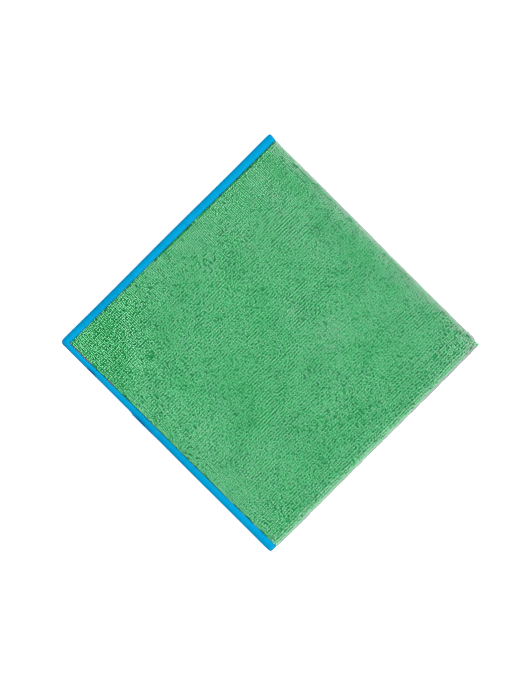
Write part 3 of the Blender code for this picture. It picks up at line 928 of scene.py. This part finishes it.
def make_binding(material):
    """The body of the edging: a ring with the solid's C section, a little under the outer threads."""
    sunk = 0.12 * MM
    upper = [
        (0, 0.3 * MM, 0.7 * MM),
        (0, 0.9 * MM, BINDING_HALF - sunk),
        (1, -0.1 * MM, BINDING_HALF - sunk),
        (1, 0, CHANNEL_HALF),
        (0, BINDING_WALL + sunk, CHANNEL_HALF),
    ]
    lower = [(share, offset, -height) for share, offset, height in reversed(upper)]
    section = [(0, sunk, 0), *upper, *lower]
    outline, inward, inner = rim_stations(2.2 * MM, 3)
    points = []
    for share, offset, height in section:
        place = outline + (inner - outline) * share + inward * offset
        points.append(carried(place[:, 0], place[:, 1], np.full(len(place), height)))
    points = np.stack(points, axis=1)
    count, corners = points.shape[:2]
    index = np.arange(count * corners).reshape(count, corners)
    beside, above = np.roll(index, -1, axis=0), np.roll(index, -1, axis=1)
    faces = np.stack([index, beside, np.roll(beside, -1, axis=1), above], axis=-1).reshape(-1, 4)
    return make_piece("binding", points.reshape(-1, 3), faces, material)


THREAD_ROUTE = [
    ThreadPoint(share=1.00, inward=-0.05 * MM, height=0.60 * MM, along=0.70, wide=0.70, tall=0.5),
    ThreadPoint(share=1.00, inward=-0.35 * MM, height=1.16 * MM, along=0.62, wide=0.90, tall=1.0),
    ThreadPoint(share=0.72, inward=0.00 * MM, height=1.24 * MM, along=0.35, wide=1.00, tall=1.0),
    ThreadPoint(share=0.36, inward=0.00 * MM, height=1.24 * MM, along=0.00, wide=1.00, tall=1.0),
    ThreadPoint(share=0.00, inward=0.90 * MM, height=1.12 * MM, along=-0.35, wide=1.00, tall=1.0),
    ThreadPoint(share=0.00, inward=0.30 * MM, height=0.70 * MM, along=-0.50, wide=1.00, tall=1.0),
    ThreadPoint(share=0.00, inward=0.12 * MM, height=0.00 * MM, along=-0.60, wide=1.00, tall=1.0),
]


def thread_route():
    """The whole way of one thread, from the inner edge over the rim and back underneath."""
    turn = THREAD_ROUTE[-1].along
    back = reversed(THREAD_ROUTE[:-1])
    return THREAD_ROUTE + [p._replace(height=-p.height, along=2 * turn - p.along) for p in back]


def make_strands(name, route, outline, inward, inner, material, seed):
    """Threads that follow one route at many stations, as four-sided strands, with painted shade that
    deepens their blue towards the rim.
    """
    chance = np.random.default_rng(seed)
    count = len(outline)
    tangent = np.stack([inward[:, 1], -inward[:, 0]], axis=-1)
    span = inner - outline
    reach = np.linalg.norm(span, axis=1)
    short = (np.arange(count) % 2) * SHORT_STITCH + chance.normal(0, 0.07 * MM, count)
    slant = THREAD_SLANT * chance.normal(1, 0.06, count)
    wide = THREAD_HALF_WIDTH * chance.uniform(0.96, 1.04, count)
    points, lift, levels = [], [], []
    for number, point in enumerate(route):
        before, after = route[max(number - 1, 0)], route[min(number + 1, len(route) - 1)]
        step_in = (after.share - before.share) * BAND_WIDTH + after.inward - before.inward
        step_up = after.height - before.height
        length = math.hypot(step_in, step_up)
        out_in, out_up = step_up / length, -step_in / length
        middle = outline + span * (point.share * (1 - short / reach))[:, None] + inward * point.inward
        middle = middle + tangent * (slant * point.along)[:, None]
        flank = tangent * (wide * point.wide)[:, None]
        # Painted shade: the threads darken towards the band's outer rim, and a little at their flanks
        # where they meet
        from_rim = point.share * BAND_WIDTH + point.inward
        rim_shade = 0.45 + 0.55 * float(ease(from_rim / THREAD_RIM_REACH))
        for side in (-1, -THREAD_SHOULDER, THREAD_SHOULDER, 1):
            thick = THREAD_HEIGHT * point.tall * (abs(side) < 1)
            place = middle + flank * side + inward * out_in * thick
            height = np.full(count, point.height + out_up * thick)
            points.append(carried(place[:, 0], place[:, 1], height))
            lift.append(rim_shade - 0.1 * (abs(side) == 1))
            levels.append(point.height)
    points = np.stack(points, axis=1)
    corners = points.shape[1]
    faces = []
    for ring in range(len(route) - 1):
        for side in range(4):
            a, b = 4 * ring + side, 4 * ring + (side + 1) % 4
            faces.append((a, a + 4, b + 4, b))
    last = corners - 4
    faces += [(0, 1, 2, 3), (last + 3, last + 2, last + 1, last)]
    tone = np.repeat(chance.normal(0, 0.04, count), corners)
    places = points.reshape(-1, 3)
    # The band's painted shades lie on the top layer's upper side, which is the flat cloth's underside
    in_top_layer = (outline < 0).all(axis=1)
    shown = in_top_layer[:, None] & (np.array(levels) < 0.05 * MM)
    tone += shown.ravel() * soft_spots(places[:, 0], places[:, 1], BAND_SHADES, "tone")
    values = {"lift": np.tile(lift, count), "tone": tone}
    piece = make_piece(name, places, repeated(faces, corners, count), material, **values)
    piece.data.set_sharp_from_angle(angle=math.radians(75))
    return piece


def make_threads(material):
    outline, inward, inner = rim_stations(THREAD_PITCH, 5)
    return make_strands("threads", thread_route(), outline, inward, inner, material, 53)


def make_pearls(material):
    """The needle thread: short raised stitches along the overlock's inner edge, on both faces."""
    chance = np.random.default_rng(71)
    outline, inward, inner = rim_stations(PEARL_PITCH, 1)
    straight = np.abs(outline - inner).min(axis=1) < 0.1 * MM
    outline, inward, inner = outline[straight], inward[straight], inner[straight]
    count = len(outline)
    tangent = np.stack([inward[:, 1], -inward[:, 0]], axis=-1)
    rings = ((-0.5, 0.0), (-0.32, 0.8), (0.32, 0.8), (0.5, 0.0))
    points, lift = [], []
    for face in (1, -1):
        shift = chance.normal(0, 0.08 * MM, count)[:, None] - PEARL_INSET
        along = PEARL_LENGTH * chance.uniform(0.8, 1.15, count)[:, None]
        centre = inner + inward * shift
        for place, girth in rings:
            middle = centre + tangent * along * place + inward * along * place * 0.25
            corners = ((0, 1), (1, 0), (0, -1), (-1, 0)) if girth else ((0, 0),)
            for out_in, out_up in corners:
                spot = middle + inward * out_in * girth * PEARL_RADIUS
                level = face * (PEARL_HEIGHT + out_up * girth * PEARL_RADIUS)
                points.append(carried(spot[:, 0], spot[:, 1], np.full(count, level)))
                lift.append(1.0 + 0.35 * out_up)
    points = np.stack(points, axis=1).reshape(2 * count, -1, 3)
    corners = points.shape[1]
    faces = []
    for side in range(4):
        a, b = 1 + side, 1 + (side + 1) % 4
        faces += [(0, b, a), (a, b, b + 4), (a, b + 4, a + 4), (9, a + 4, b + 4)]
    tone = np.repeat(chance.normal(0.1, 0.15, 2 * count), corners)
    lift = np.tile(lift[:corners], 2 * count)
    all_faces = repeated(faces, corners, 2 * count)
    return make_piece("needle_thread", points.reshape(-1, 3), all_faces, material, lift=lift, tone=tone)


def make_red_thread(material):
    """The brown-red thread: short round stretches at the foot of the pile, beside the left band."""
    points, faces = [], []
    for stitch in RED_STITCHES:
        y = np.linspace(stitch.start, stitch.end, 2 + round((stitch.end - stitch.start) / MM))
        v = FOLDED_LENGTH / 2 - HALF_LENGTH - y
        inner = side_width("u-", v, HALF_LENGTH) - HALF_WIDTH + 0.1 * MM
        girth = RED_RADIUS * (0.25 + 0.75 * np.sin(math.pi * np.linspace(0, 1, len(y))))
        rings = []
        for angle in np.arange(6) * math.tau / 6:
            height = -RED_HEIGHT - girth * math.sin(angle)
            rings.append(carried(inner + girth * math.cos(angle), v, height))
        first = sum(len(part) for part in points)
        index = first + np.arange(len(y) * 6).reshape(len(y), 6)
        beside = np.roll(index, -1, axis=1)
        sides = np.stack([index[:-1], beside[:-1], beside[1:], index[1:]], axis=-1)
        first_end = index[0, [[0, 3, 2, 1], [0, 5, 4, 3]]]
        last_end = index[-1, [[0, 1, 2, 3], [0, 3, 4, 5]]]
        faces += [sides.reshape(-1, 4), first_end, last_end]
        points.append(np.stack(rings, axis=1).reshape(-1, 3))
    return make_piece("red_thread", np.concatenate(points), np.concatenate(faces), material)


# The room


def make_room():
    bpy.ops.mesh.primitive_plane_add(size=6)
    floor = bpy.context.object
    floor.name = "floor"
    floor.location.z = -FLOOR_DROP
    floor.data.materials.append(floor_material())

    world = bpy.data.worlds.new("studio")
    bpy.context.scene.world = world
    world.use_nodes = True
    background = world.node_tree.nodes["Background"]
    background.inputs["Color"].default_value = (1, 1, 1, 1)
    background.inputs["Strength"].default_value = 0.42

    overhead = bpy.data.lights.new("overhead", "SUN")
    overhead.energy = 3.3
    overhead.angle = math.radians(35)
    lamp = bpy.data.objects.new("overhead", overhead)
    lamp.rotation_euler = (math.radians(17), 0, math.radians(45))
    bpy.context.scene.collection.objects.link(lamp)

    bpy.context.scene.view_settings.view_transform = "Standard"
    bpy.context.scene.cycles.filter_width = 1.0


def make_camera():
    """Straight above the cloth, turned so that its loose corner points left as in the photo."""
    data = bpy.data.cameras.new("camera")
    data.lens = LENS_MM
    data.sensor_width = SENSOR_MM
    distance = PHOTO_HEIGHT * PIXEL * LENS_MM / SENSOR_MM
    camera = bpy.data.objects.new("camera", data)
    right = (PHOTO_WIDTH / 2 - CLOTH_MIDDLE_PX[0]) * PIXEL
    up = (CLOTH_MIDDLE_PX[1] - PHOTO_HEIGHT / 2) * PIXEL
    camera.location = (
        right * math.cos(CAMERA_TURN) - up * math.sin(CAMERA_TURN),
        right * math.sin(CAMERA_TURN) + up * math.cos(CAMERA_TURN),
        STACK_HEIGHT + distance,
    )
    camera.rotation_euler = (0, 0, CAMERA_TURN)
    data.clip_end = 10
    bpy.context.scene.collection.objects.link(camera)
    bpy.context.scene.camera = camera


def main():
    make_camera()
    make_room()
    ground = make_ground(ground_material())
    loops = make_pile(pile_material())
    binding = make_binding(binding_material())
    threads = make_threads(thread_material())
    pearls = make_pearls(pearl_material())
    red = make_red_thread(red_material())
    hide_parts("cloth_panel")
    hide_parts("edge_binding")


main()
